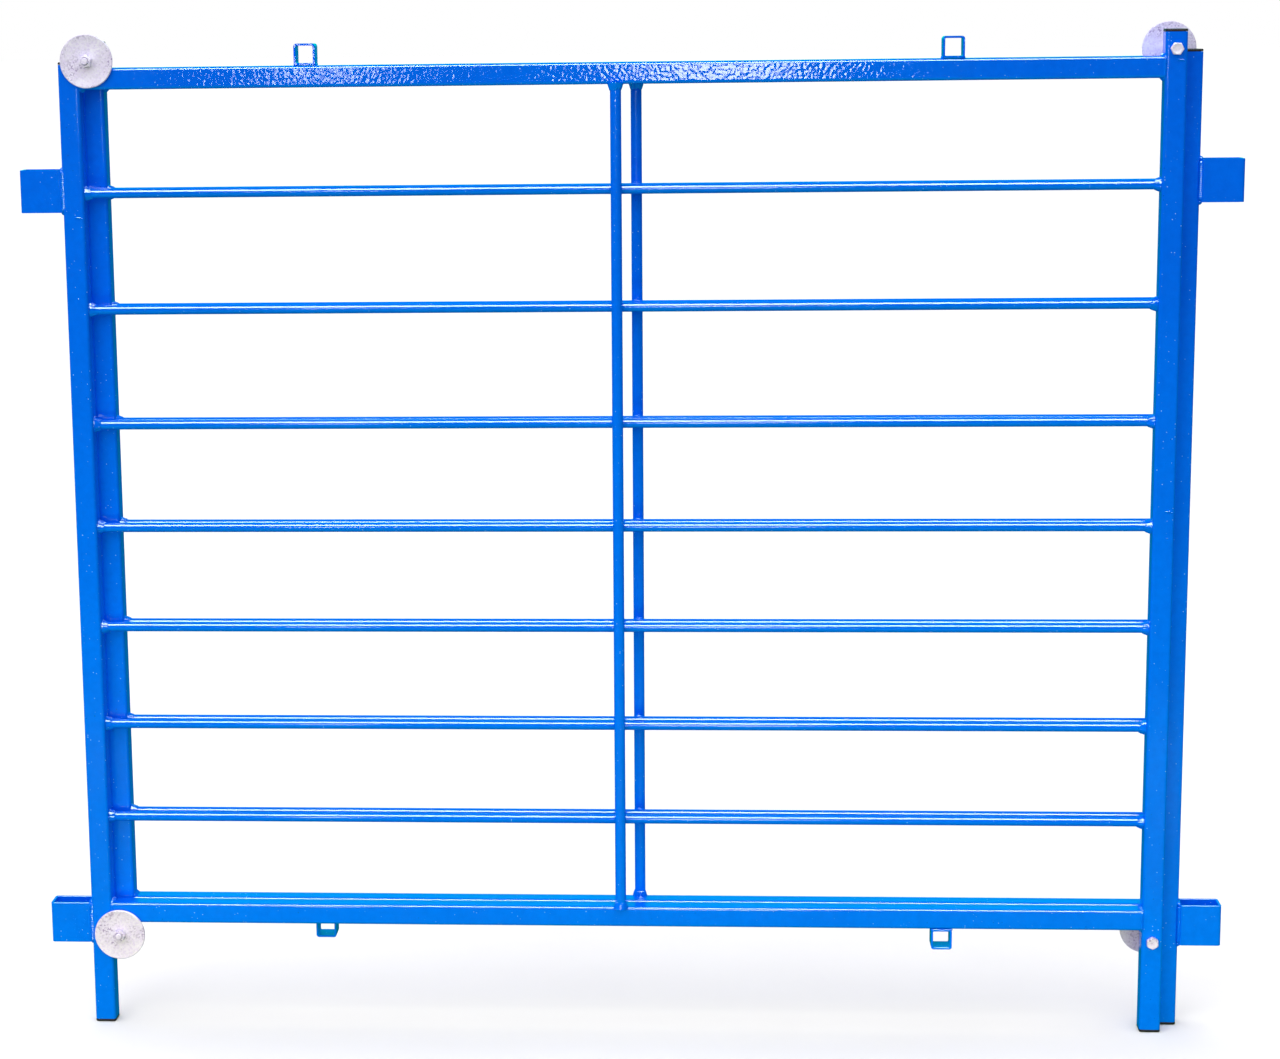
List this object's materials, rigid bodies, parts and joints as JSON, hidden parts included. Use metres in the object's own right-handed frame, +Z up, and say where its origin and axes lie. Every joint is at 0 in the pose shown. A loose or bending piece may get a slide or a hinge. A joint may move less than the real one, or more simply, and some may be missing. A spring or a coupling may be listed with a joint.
{
  "type": "extending livestock hurdle",
  "caption": "Extending livestock hurdle: two welded tube panels sliding on bolted rollers, with round rails, stop loops, link sockets and capped feet.",
  "frame": {"origin": "on the ground, at the middle of the closed pair of panels", "axes": "+X along the rails and the way the rear panel draws out; the front panel faces -Y; +Z up"},
  "size_m": [1.423, 0.0806, 1.2025],
  "materials": {
    "blue_paint": "gloss enamel over steel, light orange peel",
    "zinc_plate": "zinc plated, mottled spangle",
    "black_plastic": "satin moulded plastic"
  },
  "bodies": {
    "front_panel": {"front_socket_upright": "blue_paint", "front_slider_upright": "blue_paint", "front_socket_upright_foot_cap": "black_plastic", "front_socket_upright_top_cap": "black_plastic", "front_slider_upright_foot_cap": "black_plastic", "front_slider_upright_top_cap": "black_plastic", "front_bottom_rail": "blue_paint", "front_top_rail": "blue_paint", "front_rail_1": "blue_paint", "front_rail_2": "blue_paint", "front_rail_3": "blue_paint", "front_rail_4": "blue_paint", "front_rail_5": "blue_paint", "front_rail_6": "blue_paint", "front_rail_7": "blue_paint", "front_mid_bar": "blue_paint", "front_lower_socket": "blue_paint", "front_upper_socket": "blue_paint", "front_bottom_stop": "blue_paint", "front_top_stop": "blue_paint", "front_upper_bolt": "zinc_plate", "front_upper_nut": "zinc_plate", "front_lower_bolt": "zinc_plate", "front_lower_nut": "zinc_plate"},
    "rear_panel": {"rear_socket_upright": "blue_paint", "rear_slider_upright": "blue_paint", "rear_socket_upright_foot_cap": "black_plastic", "rear_socket_upright_top_cap": "black_plastic", "rear_slider_upright_foot_cap": "black_plastic", "rear_slider_upright_top_cap": "black_plastic", "rear_bottom_rail": "blue_paint", "rear_top_rail": "blue_paint", "rear_rail_1": "blue_paint", "rear_rail_2": "blue_paint", "rear_rail_3": "blue_paint", "rear_rail_4": "blue_paint", "rear_rail_5": "blue_paint", "rear_rail_6": "blue_paint", "rear_rail_7": "blue_paint", "rear_mid_bar": "blue_paint", "rear_lower_socket": "blue_paint", "rear_upper_socket": "blue_paint", "rear_bottom_stop": "blue_paint", "rear_top_stop": "blue_paint", "rear_upper_bolt": "zinc_plate", "rear_upper_nut": "zinc_plate", "rear_lower_bolt": "zinc_plate", "rear_lower_nut": "zinc_plate"},
    "front_upper_roller_set": {"front_upper_roller": "zinc_plate", "front_upper_disc": "zinc_plate"},
    "front_lower_roller_set": {"front_lower_roller": "zinc_plate", "front_lower_disc": "zinc_plate"},
    "rear_upper_roller_set": {"rear_upper_roller": "zinc_plate", "rear_upper_disc": "zinc_plate"},
    "rear_lower_roller_set": {"rear_lower_roller": "zinc_plate", "rear_lower_disc": "zinc_plate"}
  },
  "joints": [
    {"name": "extend", "type": "slide", "parent": "front_panel", "child": "rear_panel", "axis": [1, 0, 0], "range_m": [-0.0027, 0.9817]},
    {"name": "front_upper_roller_spin", "type": "hinge", "parent": "front_panel", "child": "front_upper_roller_set", "pos_m": [0.62625, 0.0135, 1.1715], "axis": [0, 1, 0], "continuous": true},
    {"name": "front_lower_roller_spin", "type": "hinge", "parent": "front_panel", "child": "front_lower_roller_set", "pos_m": [0.62625, 0.0135, 0.1135], "axis": [0, 1, 0], "continuous": true},
    {"name": "rear_upper_roller_spin", "type": "hinge", "parent": "rear_panel", "child": "rear_upper_roller_set", "pos_m": [-0.62625, -0.0135, 1.1715], "axis": [0, -1, 0], "continuous": true},
    {"name": "rear_lower_roller_spin", "type": "hinge", "parent": "rear_panel", "child": "rear_lower_roller_set", "pos_m": [-0.62625, -0.0135, 0.1135], "axis": [0, -1, 0], "continuous": true}
  ]
}
